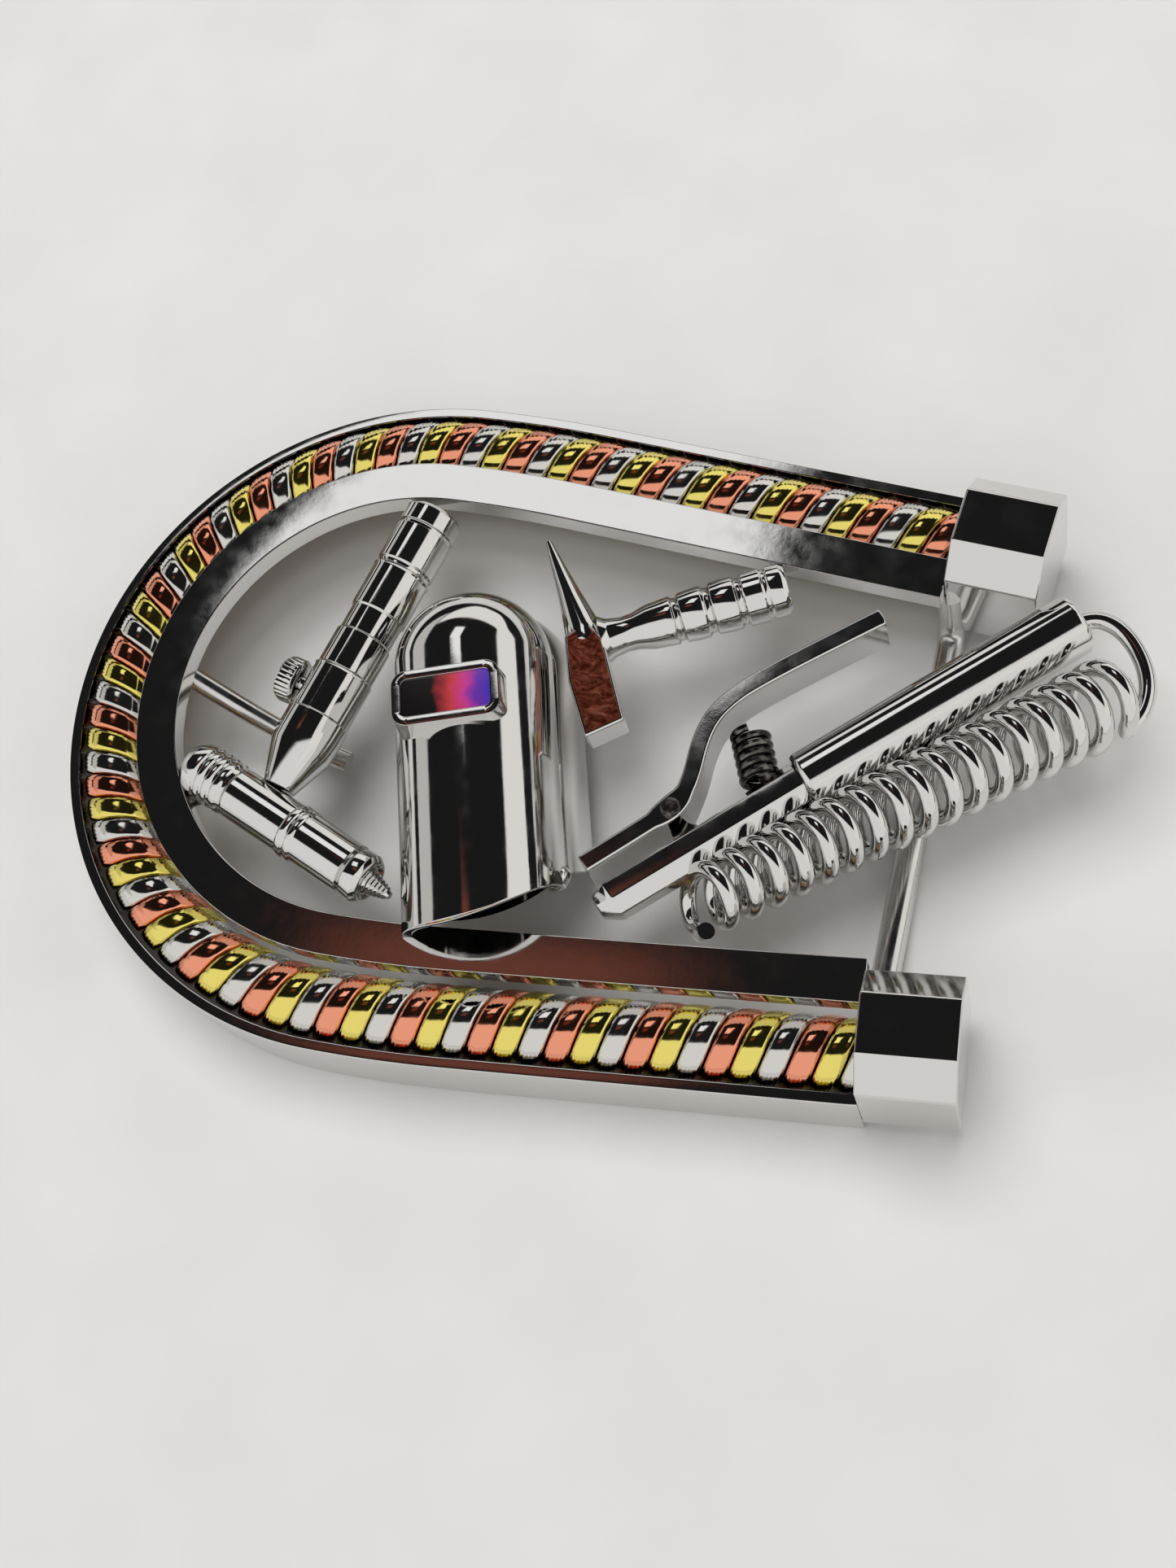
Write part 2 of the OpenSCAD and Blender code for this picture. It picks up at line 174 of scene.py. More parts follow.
def tinted_lens_with_painted_glow(tree, colours):
    """Glossy heat-coloured lens: black, then red, pink, purple and blue along its length, with a painted
    glow: it faintly emits its own colour though it is no lamp.
    """
    place = add(tree, "ShaderNodeTexCoord").outputs["Object"]
    turned = add(tree, "ShaderNodeMapping", {"Vector": place, "Rotation": (0, 0, -LENS_TURN),
                 "Location": tuple(-c for c in rotated(LENS_START * MM, -LENS_TURN))}).outputs[0]
    along = add(tree, "ShaderNodeSeparateXYZ", {"Vector": turned}).outputs["X"]
    cloud = add(tree, "ShaderNodeTexNoise", {"Vector": place, "Scale": 500.0, "Detail": 3.0}).outputs[0]
    wobble = add(tree, "ShaderNodeMath", {0: cloud, 1: 0.002, 2: along},
                 operation="MULTIPLY_ADD").outputs[0]
    share = add(tree, "ShaderNodeMapRange", {"Value": wobble, "From Min": 0.001,
                "From Max": 0.001 + LENS_SPAN * MM}).outputs[0]
    colour = ramp(tree, share, [(0.0, linear("050304")), (0.36, linear("0A0506")),
                  (0.42, linear("6E1C22")), (0.56, linear("B03338")), (0.70, linear("B5307E")),
                  (0.84, linear("5C2496")), (1.0, linear("3326A0"))])
    # Painted glow: the lens emits its own colour faintly, as though lit from within.
    return add(tree, "ShaderNodeBsdfPrincipled", {"Base Color": colour, "Roughness": 0.12,
               "Coat Weight": 1.0, "Coat Roughness": 0.03, "Emission Color": colour,
               "Emission Strength": 0.12})


def ground_brown(tree, colours):
    """The chisel's ground face: swirled coarse grinding that heat has turned copper-brown."""
    place = add(tree, "ShaderNodeTexCoord").outputs["Object"]
    swirl = add(tree, "ShaderNodeTexNoise", {"Vector": place, "Scale": 700.0, "Detail": 4.0,
                "Distortion": 2.5}).outputs[0]
    colour = ramp(tree, swirl, [(0.35, linear("6B2F22")), (0.6, linear("B4624A")),
                  (0.8, linear("D88D72"))])
    bump = add(tree, "ShaderNodeBump", {"Height": swirl, "Strength": 0.5, "Distance": 0.0001}).outputs[0]
    return add(tree, "ShaderNodeBsdfPrincipled", {"Base Color": colour, "Metallic": 1.0,
               "Roughness": 0.32, "Normal": bump})


def weld_bead(tree, colours):
    """Rough dark weld metal in a corner."""
    place = add(tree, "ShaderNodeTexCoord").outputs["Object"]
    lumps = add(tree, "ShaderNodeTexNoise", {"Vector": place, "Scale": 1600.0, "Detail": 4.0}).outputs[0]
    colour = ramp(tree, lumps, [(0.3, linear("1C1918")), (0.7, linear("8A8580"))])
    bump = add(tree, "ShaderNodeBump", {"Height": lumps, "Strength": 0.7, "Distance": 0.0001}).outputs[0]
    return add(tree, "ShaderNodeBsdfPrincipled", {"Base Color": colour, "Metallic": 1.0,
               "Roughness": 0.3, "Normal": bump})


def pale_board(tree, colours):
    """Matt white card under the buckle, with a faint paper mottle."""
    place = add(tree, "ShaderNodeTexCoord").outputs["Object"]
    mottle = add(tree, "ShaderNodeTexNoise", {"Vector": place, "Scale": 60.0, "Detail": 3.0}).outputs[0]
    colour = ramp(tree, mottle, [(0.3, linear("D9D8D6")), (0.7, linear("DFDEDC"))])
    return add(tree, "ShaderNodeBsdfPrincipled", {"Base Color": colour, "Roughness": 0.8})


FINISHES = {
    "mirror_polished_steel": mirror_steel, "satin_steel": satin_steel,
    "polished_copper": polished_copper, "polished_brass": polished_brass,
    "polished_nickel_silver": nickel_silver, "darkened_spring_steel": dark_steel,
    "heat_tinted_lens": tinted_lens_with_painted_glow, "brown_ground_steel": ground_brown,
    "weld_metal": weld_bead, "matt_white_board": pale_board,
}


# ---- geometry helpers ----

def rotated(v, angle):
    """A plan vector turned about the upright axis."""
    return Matrix.Rotation(angle, 3, "Z") @ Vector(v)


def put(name, bm, material, nodes=(), body="buckle", slot="polished", sharp=32.0):
    """Places a shape in the buckle, in metres, fastens it to its body and hides the CAD nodes that it
    replaces.
    """
    bmesh.ops.remove_doubles(bm, verts=bm.verts, dist=MERGE)
    bmesh.ops.recalc_face_normals(bm, faces=bm.faces)
    bmesh.ops.translate(bm, verts=bm.verts, vec=(RIDGE_X, 0, 0))
    bmesh.ops.scale(bm, verts=bm.verts, vec=(MM, MM, MM))
    mesh = bpy.data.meshes.new(name)
    bm.to_mesh(mesh)
    bm.free()
    for item in (material if isinstance(material, (list, tuple)) else [material]):
        mesh.materials.append(finish(item))
    mesh.polygons.foreach_set("use_smooth", [True] * len(mesh.polygons))
    mesh.set_sharp_from_angle(angle=math.radians(sharp))
    piece = bpy.data.objects.new(name, mesh)
    bpy.context.scene.collection.objects.link(piece)
    flat = piece.modifiers.new("flat faces stay flat", "WEIGHTED_NORMAL")
    flat.keep_sharp, flat.weight = True, 80
    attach(piece, body)
    if nodes:
        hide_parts(*nodes)
    return piece


def ring_edges(bm, points, closed=True):
    """Vertices through points, joined by edges."""
    verts = [bm.verts.new(p) for p in points]
    pairs = list(zip(verts, verts[1:])) + ([(verts[-1], verts[0])] if closed else [])
    return verts, [bm.edges.new(pair) for pair in pairs]


def close_ends(bm):
    """Fills the open ends of a swept tube."""
    open_edges = [e for e in bm.edges if e.is_boundary]
    bmesh.ops.holes_fill(bm, edges=open_edges, sides=0)


def swept(profile, length, steps, turn=0.0):
    """Sweeps a (y, z) profile along x from 0 to length, turning it about the x axis on the way."""
    bm = bmesh.new()
    verts, edges = ring_edges(bm, [(0, y, z) for y, z in profile])
    bmesh.ops.spin(bm, geom=verts + edges, cent=(0, 0, 0), axis=X_AXIS, dvec=(length / steps, 0, 0),
                   angle=turn, steps=steps, use_merge=False, use_normal_flip=False,
                   use_duplicate=False)
    close_ends(bm)
    return bm


def soften(bm, width, limit=40.0, segments=2):
    """Rounds the sharp edges, which gives polished metal its thin bright lines."""
    bmesh.ops.recalc_face_normals(bm, faces=bm.faces)
    sharp = [e for e in bm.edges if e.is_manifold and e.calc_face_angle(0) > math.radians(limit)]
    bmesh.ops.bevel(bm, geom=sharp, offset=width, offset_type="OFFSET", segments=segments,
                    profile=0.5, affect="EDGES", material=-1, clamp_overlap=True)


def turned_shape(steps, segments=56, edge=0.07):
    """A lathe-turned piece along x, from (distance, radius) steps, with its corners eased."""
    bm = bmesh.new()
    points = [(steps[0][0], 0, 0)] + [(x, 0, r) for x, r in steps] + [(steps[-1][0], 0, 0)]
    verts, edges = ring_edges(bm, points, closed=False)
    bmesh.ops.spin(bm, geom=verts + edges, cent=(0, 0, 0), axis=X_AXIS, dvec=(0, 0, 0),
                   angle=FULL_TURN, steps=segments, use_merge=True, use_normal_flip=False,
                   use_duplicate=False)
    bmesh.ops.remove_doubles(bm, verts=bm.verts, dist=MERGE)
    if edge:
        soften(bm, edge, limit=20.0)
    return bm


def aim(bm, start, end, z=TOOL_Z):
    """Moves a shape made along x so that it starts at one plan point and points at another."""
    direction = math.atan2(end[1] - start[1], end[0] - start[0])
    place = Matrix.Translation((start[0], start[1], z)) @ Matrix.Rotation(direction, 4, "Z")
    bmesh.ops.transform(bm, matrix=place, verts=bm.verts)
    return bm


def turned(name, start, end, steps, material="mirror_polished_steel", nodes=(), edge=0.07, **more):
    """A lathe-turned piece from one plan point towards another."""
    return put(name, aim(turned_shape(steps, edge=edge), start, end), material, nodes, **more)


def slab(outline, low, high, edge=0.12, segments=2):
    """A plate with a plan outline, extruded upwards, its edges eased."""
    bm = bmesh.new()
    verts = [bm.verts.new((x, y, low)) for x, y in outline]
    base = bm.faces.new(verts)
    made = bmesh.ops.extrude_face_region(bm, geom=[base], use_keep_orig=True)
    top = [g for g in made["geom"] if isinstance(g, bmesh.types.BMVert)]
    bmesh.ops.translate(bm, verts=top, vec=(0, 0, high - low))
    if edge:
        soften(bm, edge, limit=25.0, segments=segments)
    return bm


def joined(*shapes):
    """Several shapes as one piece."""
    whole = bmesh.new()
    for shape in shapes:
        mesh = bpy.data.meshes.new("part")
        bmesh.ops.recalc_face_normals(shape, faces=shape.faces)
        shape.to_mesh(mesh)
        shape.free()
        whole.from_mesh(mesh)
        bpy.data.meshes.remove(mesh)
    return whole


def wire(points, radius, sides=16):
    """Round wire along a line through points."""
    curve = bpy.data.curves.new("line", "CURVE")
    curve.dimensions = "3D"
    curve.bevel_depth, curve.bevel_resolution = radius, sides // 4
    curve.use_fill_caps = True
    spline = curve.splines.new("POLY")
    spline.points.add(len(points) - 1)
    for spot, p in zip(spline.points, points):
        spot.co = (*p, 1.0)
    holder = bpy.data.objects.new("line", curve)
    bpy.context.scene.collection.objects.link(holder)
    made = bpy.data.meshes.new_from_object(holder.evaluated_get(bpy.context.evaluated_depsgraph_get()))
    bm = bmesh.new()
    bm.from_mesh(made)
    bpy.data.objects.remove(holder)
    bpy.data.curves.remove(curve)
    bpy.data.meshes.remove(made)
    return bm


def smooth_line(points, times=3):
    """Cuts the corners of a line until it bends smoothly."""
    points = [Vector(p) for p in points]
    for _ in range(times):
        cut = [points[0]]
        for a, b in zip(points, points[1:]):
            cut += [a.lerp(b, 0.25), a.lerp(b, 0.75)]
        points = cut + [points[-1]]
    return points


# ---- the horseshoe's line ----

BOW_RADIUS, SHOULDER_RADIUS, TAPER, ARM_LENGTH = 26.9, 133.0, math.radians(5.6), 39.0


def bow_end(w):
    return math.pi / 2 * (BOW_RADIUS + w)


def line_half(w):
    """Half the length of the line at offset w, from the closed end to an end cap."""
    return bow_end(w) + (SHOULDER_RADIUS + w) * TAPER + ARM_LENGTH


def line_at(s, w):
    """Plan point and outward direction at length s along the line at offset w."""
    side, s = (-1 if s < 0 else 1), abs(s)
    if s < bow_end(w):
        a = s / (BOW_RADIUS + w)
        point = Vector((BOW_RADIUS - (BOW_RADIUS + w) * math.cos(a), (BOW_RADIUS + w) * math.sin(a), 0))
        out = Vector((-math.cos(a), math.sin(a), 0))
    else:
        r = SHOULDER_RADIUS + w
        a = min((s - bow_end(w)) / r, TAPER)
        d = max(s - bow_end(w) - r * TAPER, 0)
        out = Vector((math.sin(a), math.cos(a), 0))
        point = Vector((BOW_RADIUS, BOW_RADIUS - SHOULDER_RADIUS, 0)) + r * out
        point += d * Vector((math.cos(TAPER), -math.sin(TAPER), 0))
    point.y, out.y = side * point.y, side * out.y
    return point, out


def bend(bm, w0):
    """Bends a straight bar (x along, y outwards, z up) onto the horseshoe's line."""
    for v in bm.verts:
        point, out = line_at(v.co.x, w0)
        v.co = point + (v.co.y - w0) * out + Vector((0, 0, v.co.z))


def horseshoe_bar(profile, w0, edge, steps=220):
    """A bar of (outwards, height) profile round the whole horseshoe."""
    half = line_half(w0)
    bm = swept(profile, 2 * half, steps)
    bmesh.ops.translate(bm, verts=bm.verts, vec=(-half, 0, 0))
    soften(bm, edge)
    bend(bm, w0)
    return bm


# ---- sizes that a user would change ----

class BuckleSizes(PropertyGroup):
    rope_radius: FloatProperty(name="Rope radius", description="Outer radius of the twisted rope",
                               default=3.6 * MM, min=3.4 * MM, max=3.7 * MM, precision=4,
                               unit="LENGTH")
    rope_pitch: FloatProperty(name="Rope pitch", description="Length in which a strand turns once",
                              default=7.5 * MM, min=7.2 * MM, max=7.8 * MM, precision=4,
                              unit="LENGTH")
    rope_phase: FloatProperty(name="Rope phase", description="Where the copper strand starts",
                              default=math.radians(20.0), min=-math.pi, max=math.pi,
                              subtype="ANGLE")
    edge: FloatProperty(name="Edge", description="Rounding of the polished edges",
                        default=0.14 * MM, min=0.05 * MM, max=0.3 * MM, precision=5, unit="LENGTH")
    lead_turns: IntProperty(name="Lead turns", description="Turns of wire in the curly lead",
                            default=17, min=10, max=20)
    lead_wire: FloatProperty(name="Lead wire", description="Radius of the curly lead's wire",
                             default=0.85 * MM, min=0.6 * MM, max=0.9 * MM, precision=5,
                             unit="LENGTH")


class BuckleColours(PropertyGroup):
    steel: FloatVectorProperty(name="Steel", description="Polished stainless steel", subtype="COLOR",
                               size=3, default=linear("DDDCDA")[:3], min=0, max=1)
    copper: FloatVectorProperty(name="Copper", description="Copper strand", subtype="COLOR",
                                size=3, default=linear("F6A283")[:3], min=0, max=1)
    brass: FloatVectorProperty(name="Brass", description="Brass strand", subtype="COLOR",
                               size=3, default=linear("F2E27A")[:3], min=0, max=1)
    nickel: FloatVectorProperty(name="Nickel silver", description="White strand", subtype="COLOR",
                                size=3, default=linear("DCDAD6")[:3], min=0, max=1)


# ---- frame pieces ----

class BUCKLE_OT_bars(Operator):
    """Inner bar and outer band of the horseshoe"""
    bl_idname = "buckle.bars"
    bl_label = "Bars"

    def execute(self, context):
        edge = context.scene.buckle_sizes.edge / MM
        width, low, high = 4.2, 9.6, 12.0
        bar = horseshoe_bar([(-width, low), (0, low), (0, high), (-width, high)], 0, edge)
        put("inner_bar_polished", bar, "mirror_polished_steel", ("inner_bar",))
        inner, top = 7.5, 8.8
        band = horseshoe_bar([(inner, 0), (BAND_OUTER, 0), (BAND_OUTER, top), (inner, top)],
                             inner, edge)
        put("outer_band_polished", band, "mirror_polished_steel", ("outer_band",))
        return {"FINISHED"}


ROPE_RADIUS, ROPE_OFFSET, ROPE_Z = 3.6, 3.7, 7.2
ROPE_STEPS_PER_TURN = 26
# One strand's outline at the standard radius: (distance from the rope's middle, angle).
STRAND = [(0.15, 0), (2.7, 59.0), (3.15, 57), (3.42, 51), (3.55, 38), (3.6, 19), (3.6, 0)]
STRAND_FINISH = (("rope_copper", "polished_copper", "copper", 0),
                 ("rope_brass", "polished_brass", "brass", -120),
                 ("rope_steel", "polished_nickel_silver", "polished", 120))


class BUCKLE_OT_rope(Operator):
    """The three strands of the twisted rope"""
    bl_idname = "buckle.rope"
    bl_label = "Rope"

    def execute(self, context):
        sizes = context.scene.buckle_sizes
        half = line_half(ROPE_OFFSET) - 0.02
        turns = 2 * half * MM / sizes.rope_pitch
        swell = sizes.rope_radius / (ROPE_RADIUS * MM)
        section = STRAND + [(r, -a) for r, a in STRAND[-2:0:-1]]
        for node, material, slot, shift in STRAND_FINISH:
            first = math.degrees(sizes.rope_phase) + shift + 360 * turns
            profile = [(r * swell * math.cos(math.radians(a + first)),
                        r * swell * math.sin(math.radians(a + first))) for r, a in section]
            bm = swept(profile, 2 * half, round(turns * ROPE_STEPS_PER_TURN), -FULL_TURN * turns)
            bmesh.ops.translate(bm, verts=bm.verts, vec=(-half, ROPE_OFFSET, ROPE_Z))
            bend(bm, ROPE_OFFSET)
            put(node + "_strand", bm, material, (node,), slot=slot, sharp=50)
        return {"FINISHED"}


CAP_LENGTH = 9.0


class BUCKLE_OT_caps(Operator):
    """The two bevelled end caps"""
    bl_idname = "buckle.caps"
    bl_label = "End caps"

    def execute(self, context):
        outline = [(-2.9, 3), (8.7, 3), (8.7, 13), (5.7, 16), (0.1, 16), (-2.9, 13)]
        for name, side in (("upper_cap", 1), ("lower_cap", -1)):
            bm = swept(outline, CAP_LENGTH, 1)
            soften(bm, 0.22, limit=30, segments=3)
            start, out = line_at(line_half(0), 0)
            place = Matrix.Translation(start) @ Matrix.Rotation(-TAPER, 4, "Z")
            bmesh.ops.transform(bm, matrix=place, verts=bm.verts)
            if side < 0:
                bmesh.ops.scale(bm, verts=bm.verts, vec=(1, -1, 1))
            put(name + "_polished", bm, "mirror_polished_steel", (name,))
        return {"FINISHED"}


class BUCKLE_OT_back(Operator):
    """The strap bail, the belt hook and the strut behind the tools"""
    bl_idname = "buckle.back"
    bl_label = "Back wires"

    def execute(self, context):
        reach, x, r = 20.2, 78.8, 1.4  # leg from the middle, bail's place, wire radius
        line = smooth_line([(x, -reach, 9.5), (x, -reach, 5.0), (x, -reach, r + 1.6),
                            (x, -reach + 1.4, r),
                            (x, -reach + 5, r), (x, reach - 5, r), (x, reach - 1.4, r),
                            (x, reach, r + 1.6), (x, reach, 5.0), (x, reach, 9.5)])
        put("strap_bail_bent", wire(line, r, 24), "satin_steel", ("strap_bail",), slot="brushed")
        hook = smooth_line([(3.4, 0.5, 9.0), (7.0, -0.7, 7.6), (12.0, -2.2, 5.4), (16.0, -3.2, 4.0),
                            (19.0, -3.8, 3.3), (20.6, -4.1, 3.0)])
        put("belt_hook_bent", wire(hook, 1.1, 20), "satin_steel", ("belt_hook",), slot="brushed")
        put("bow_strut_weld", wire([(8.0, -13.9, 10.8), (8.7, -13.1, 10.2), (9.4, -12.4, 9.6)], 0.7, 12),
            "weld_metal", ("bow_strut",))
        return {"FINISHED"}


# ---- torch ----

TORCH_FOOT, TORCH_TOP = (17.6, -10.8), (25.6, 21.5)
HEAD_BACK, HEAD_TIP = (7.3, -9.4), (32.1, -19.8)
KNOB_ROOT, KNOB_AXIS = Vector((20.2, -0.3)), Vector((-0.9707, 0.2404))


class BUCKLE_OT_torch(Operator):
    """The torch's handle, its head and its ribbed back cap"""
    bl_idname = "buckle.torch"
    bl_label = "Torch"

    def execute(self, context):
        steel = "mirror_polished_steel"
        turned("torch_handle_turned", TORCH_FOOT, TORCH_TOP, [(0, 1.7), (4.3, 3.22), (6.3, 3.3),
               (8.0, 3.3), (8.15, 3.12), (13.0, 3.12), (13.2, 3.22), (13.4, 3.0), (17.4, 3.0),
               (17.6, 2.8), (20.3, 2.8), (20.45, 3.0), (25.2, 3.0), (25.4, 3.12), (25.6, 2.85),
               (26.0, 2.85), (26.15, 3.05), (30.3, 3.05)], steel, ("torch_handle",))
        turned("torch_end_cap_turned", TORCH_FOOT, TORCH_TOP, [(30.3, 2.8), (30.7, 2.8), (30.8, 3.05),
               (32.6, 3.05), (33.0, 2.7)], steel, ("torch_end_cap",))
        turned("torch_back_cap_turned", HEAD_BACK, HEAD_TIP, [(0, 0.9), (0.25, 1.5), (0.7, 2.2),
               (1.5, 2.75), (2.3, 2.92), (2.8, 2.92), (2.95, 2.7), (3.2, 2.7), (3.35, 2.92),
               (3.8, 2.92), (3.95, 2.7), (4.2, 2.7), (4.35, 2.88), (4.8, 2.88), (4.95, 2.66),
               (5.2, 2.66), (5.35, 2.82), (5.9, 2.82), (6.2, 2.6), (6.6, 2.6)], steel,
               ("torch_back_cap",))
        turned("torch_head_turned", HEAD_BACK, HEAD_TIP, [(6.6, 2.45), (6.9, 2.7), (14.2, 2.7),
               (14.4, 2.9), (14.9, 2.9), (15.05, 2.75), (15.3, 2.75), (15.4, 2.85), (15.8, 2.85),
               (16.0, 2.7), (22.0, 2.7)], steel, ("torch_head",))
        turned("torch_nozzle_turned", HEAD_BACK, HEAD_TIP, [(22.0, 2.4), (22.3, 2.4), (22.5, 2.65),
               (23.8, 2.65), (24.3, 2.2), (24.35, 1.9), (23.9, 1.6)], steel, ("torch_nozzle",))
        threads = [(23.9, 1.3)]
        for i in range(6):
            x, r = 24.3 + 0.42 * i, 1.35 - 0.13 * i
            threads += [(x, r), (x + 0.2, r - 0.22)]
        turned("torch_electrode_threaded", HEAD_BACK, HEAD_TIP, threads + [(26.9, 0.35)],
               steel, ("torch_electrode",), edge=0)
        return {"FINISHED"}


class BUCKLE_OT_knob(Operator):
    """The torch's knurled valve knob and its stem"""
    bl_idname = "buckle.knob"
    bl_label = "Valve knob"

    def execute(self, context):
        root = KNOB_ROOT + 2.9 * KNOB_AXIS
        turned("knob_stem_turned", root, root + KNOB_AXIS, [(0, 0.8), (2.3, 0.8)],
               "mirror_polished_steel", ("knob_stem",))
        bm = turned_shape([(0, 0.85), (0.0, 1.7), (0.12, 2.1), (0.3, 2.3), (0.45, 2.4), (1.75, 2.4),
                           (2.05, 2.2), (2.2, 1.9)], segments=72, edge=0)
        for v in bm.verts:
            around = math.atan2(v.co.z, v.co.y)
            if 0.4 < v.co.x < 1.8:
                groove = 0.12 * (round(around / FULL_TURN * 72) % 2)
                v.co.y, v.co.z = v.co.y * (1 - groove / 2.4), v.co.z * (1 - groove / 2.4)
        start = KNOB_ROOT + 3.5 * KNOB_AXIS
        put("torch_knob_knurled", aim(bm, start, start + KNOB_AXIS), "mirror_polished_steel",
            ("torch_knob",), body="knob")
        return {"FINISHED"}


# ---- helmet ----

CROWN, CHIN = Vector((34.2, 4.5)), Vector((42.6, -22.2))
HELMET_TURN = math.atan2(CHIN.y - CROWN.y, CHIN.x - CROWN.x)
HELMET_Z, HELMET_R = 10.8, 8.0
BACK_R, BACK_DEPTH = 8.7, 6.8
DRAWN_LENGTH = 24.0  # the helmet is drawn this long, then cut to the chin line
JAW_CENTRE, JAW_RADIUS = Vector((35.5, -8.0)), 15.2
LENS_TURN = HELMET_TURN + math.pi / 2
LENS_SPAN = 8.8


def helmet_point(along, across, up=0.0):
    """A point in the buckle from the helmet's own axes."""
    flat = rotated((along, across, 0), HELMET_TURN)
    return Vector((CROWN.x + flat.x, CROWN.y + flat.y, HELMET_Z + up))


LENS_START = helmet_point(6.1, -0.9 - LENS_SPAN / 2) + Vector((RIDGE_X, 0, 0))


def chin_reach(across):
    """How far the helmet runs from its crown's centre before the round chin line."""
    local = rotated((JAW_CENTRE.x - CROWN.x, JAW_CENTRE.y - CROWN.y, 0), -HELMET_TURN)
    return local.x + math.sqrt(max(JAW_RADIUS ** 2 - (across - local.y) ** 2, 1.0))


def helmet_form(radius, arc_steps, longer=0.0):
    """An open half capsule: a quarter-round crown and a half-round front down to the chin."""
    bm = bmesh.new()
    arc = [(0, radius * math.cos(a), radius * math.sin(a))
           for a in (math.pi / 2 * i / arc_steps for i in range(arc_steps + 1))]
    verts, edges = ring_edges(bm, arc, closed=False)
    bmesh.ops.spin(bm, geom=verts + edges, cent=(0, 0, 0), axis=Z_AXIS, dvec=(0, 0, 0),
                   angle=math.pi, steps=2 * arc_steps, use_merge=False, use_normal_flip=False,
                   use_duplicate=False)
    bmesh.ops.remove_doubles(bm, verts=bm.verts, dist=MERGE)
    mouth = [e for e in bm.edges if e.is_boundary and all(abs(v.co.x) < 1e-3 for v in e.verts)]
    made = bmesh.ops.extrude_edge_only(bm, edges=mouth)
    low = [g for g in made["geom"] if isinstance(g, bmesh.types.BMVert)]
    bmesh.ops.translate(bm, verts=low, vec=(DRAWN_LENGTH, 0, 0))
    long_edges = [e for e in bm.edges if abs(e.verts[0].co.x - e.verts[1].co.x) > 20]
    bmesh.ops.subdivide_edges(bm, edges=long_edges, cuts=11, use_grid_fill=True)
    for v in bm.verts:
        if v.co.x > 0:
            v.co.x *= (chin_reach(v.co.y) + longer) / DRAWN_LENGTH
    return bm


def seat_helmet(bm):
    """Moves a shape from the helmet's own axes to its place."""
    place = Matrix.Translation((CROWN.x, CROWN.y, HELMET_Z)) @ Matrix.Rotation(HELMET_TURN, 4, "Z")
    bmesh.ops.transform(bm, matrix=place, verts=bm.verts)
    return bm


class BUCKLE_OT_helmet(Operator):
    """The helmet's front shell, its back and its pivot ball"""
    bl_idname = "buckle.helmet"
    bl_label = "Helmet"

    def execute(self, context):
        shell = helmet_form(HELMET_R, 24, longer=0.9)
        bmesh.ops.recalc_face_normals(shell, faces=shell.faces)
        bmesh.ops.solidify(shell, geom=list(shell.faces), thickness=1.0)
        soften(shell, 0.12, limit=60)
        put("helmet_shell_polished", seat_helmet(shell), "mirror_polished_steel", ("helmet_shell",))
        back = helmet_form(BACK_R, 24, longer=-1.6)
        for v in back.verts:
            rise = min(1.0, v.co.z / BACK_R * 1.6) ** 0.8 if v.co.z > MERGE else 0.0
            v.co.z = BACK_DEPTH * (rise - 1.0)
        bmesh.ops.translate(back, verts=back.verts, vec=(0, 0.76, 0))
        close_ends(back)
        put("helmet_back_rounded", seat_helmet(back), "mirror_polished_steel", ("helmet_back",),
            slot="brushed")
        ball = bmesh.new()
        bmesh.ops.create_uvsphere(ball, u_segments=32, v_segments=20, radius=1.1)
        bmesh.ops.scale(ball, verts=ball.verts, vec=(0.9, 1.25, 1.0))
        bmesh.ops.rotate(ball, verts=ball.verts, cent=(0, 0, 0), matrix=Matrix.Rotation(-0.5, 3, "Z"))
        bmesh.ops.translate(ball, verts=ball.verts, vec=(48.2, -15.5, 11.4))
        put("helmet_pivot_round", ball, "mirror_polished_steel", ("helmet_pivot",))
        return {"FINISHED"}


class BUCKLE_OT_lens(Operator):
    """The helmet's lens frame and its coloured lens"""
    bl_idname = "buckle.lens"
    bl_label = "Lens"

    def execute(self, context):
        bm = bmesh.new()
        bmesh.ops.create_cube(bm, size=1.0)
        bmesh.ops.scale(bm, verts=bm.verts, vec=(5.8, 10.6, 4.4))
        upright = [e for e in bm.edges if abs(e.verts[0].co.z - e.verts[1].co.z) > 4]
        bmesh.ops.bevel(bm, geom=upright, offset=1.5, offset_type="OFFSET", segments=6, profile=0.5,
                        affect="EDGES", material=-1)
        front = max(bm.faces, key=lambda f: f.calc_center_median().z)
        bmesh.ops.inset_region(bm, faces=[front], thickness=0.95, depth=0, use_even_offset=True)
        made = bmesh.ops.extrude_face_region(bm, geom=[front])
        floor = [g for g in made["geom"] if isinstance(g, bmesh.types.BMVert)]
        bmesh.ops.delete(bm, geom=[front], context="FACES")
        bmesh.ops.translate(bm, verts=floor, vec=(0, 0, -0.8))
        for v in bm.verts:
            if v.co.z < 0:
                v.co.x, v.co.y = v.co.x * 1.1, v.co.y * 1.08
        soften(bm, 0.14, limit=50)
        bmesh.ops.translate(bm, verts=bm.verts, vec=(6.1, -0.9, 6.6))
        put("lens_frame_polished", seat_helmet(bm), "mirror_polished_steel", ("lens_frame",))
        pane = bmesh.new()
        bmesh.ops.create_cube(pane, size=1.0)
        bmesh.ops.scale(pane, verts=pane.verts, vec=(3.86, 8.66, 0.5))
        corner = [e for e in pane.edges if abs(e.verts[0].co.z - e.verts[1].co.z) > 0.4]
        bmesh.ops.bevel(pane, geom=corner, offset=0.6, offset_type="OFFSET", segments=5, profile=0.5,
                        affect="EDGES", material=-1)
        bmesh.ops.translate(pane, verts=pane.verts, vec=(6.1, -0.9, 8.28))
        # The lens's finish carries a painted glow: it emits its own colour faintly.
        put("helmet_lens_tinted", seat_helmet(pane), "heat_tinted_lens", ("helmet_lens",), slot="lens")
        return {"FINISHED"}


# ---- hammer ----

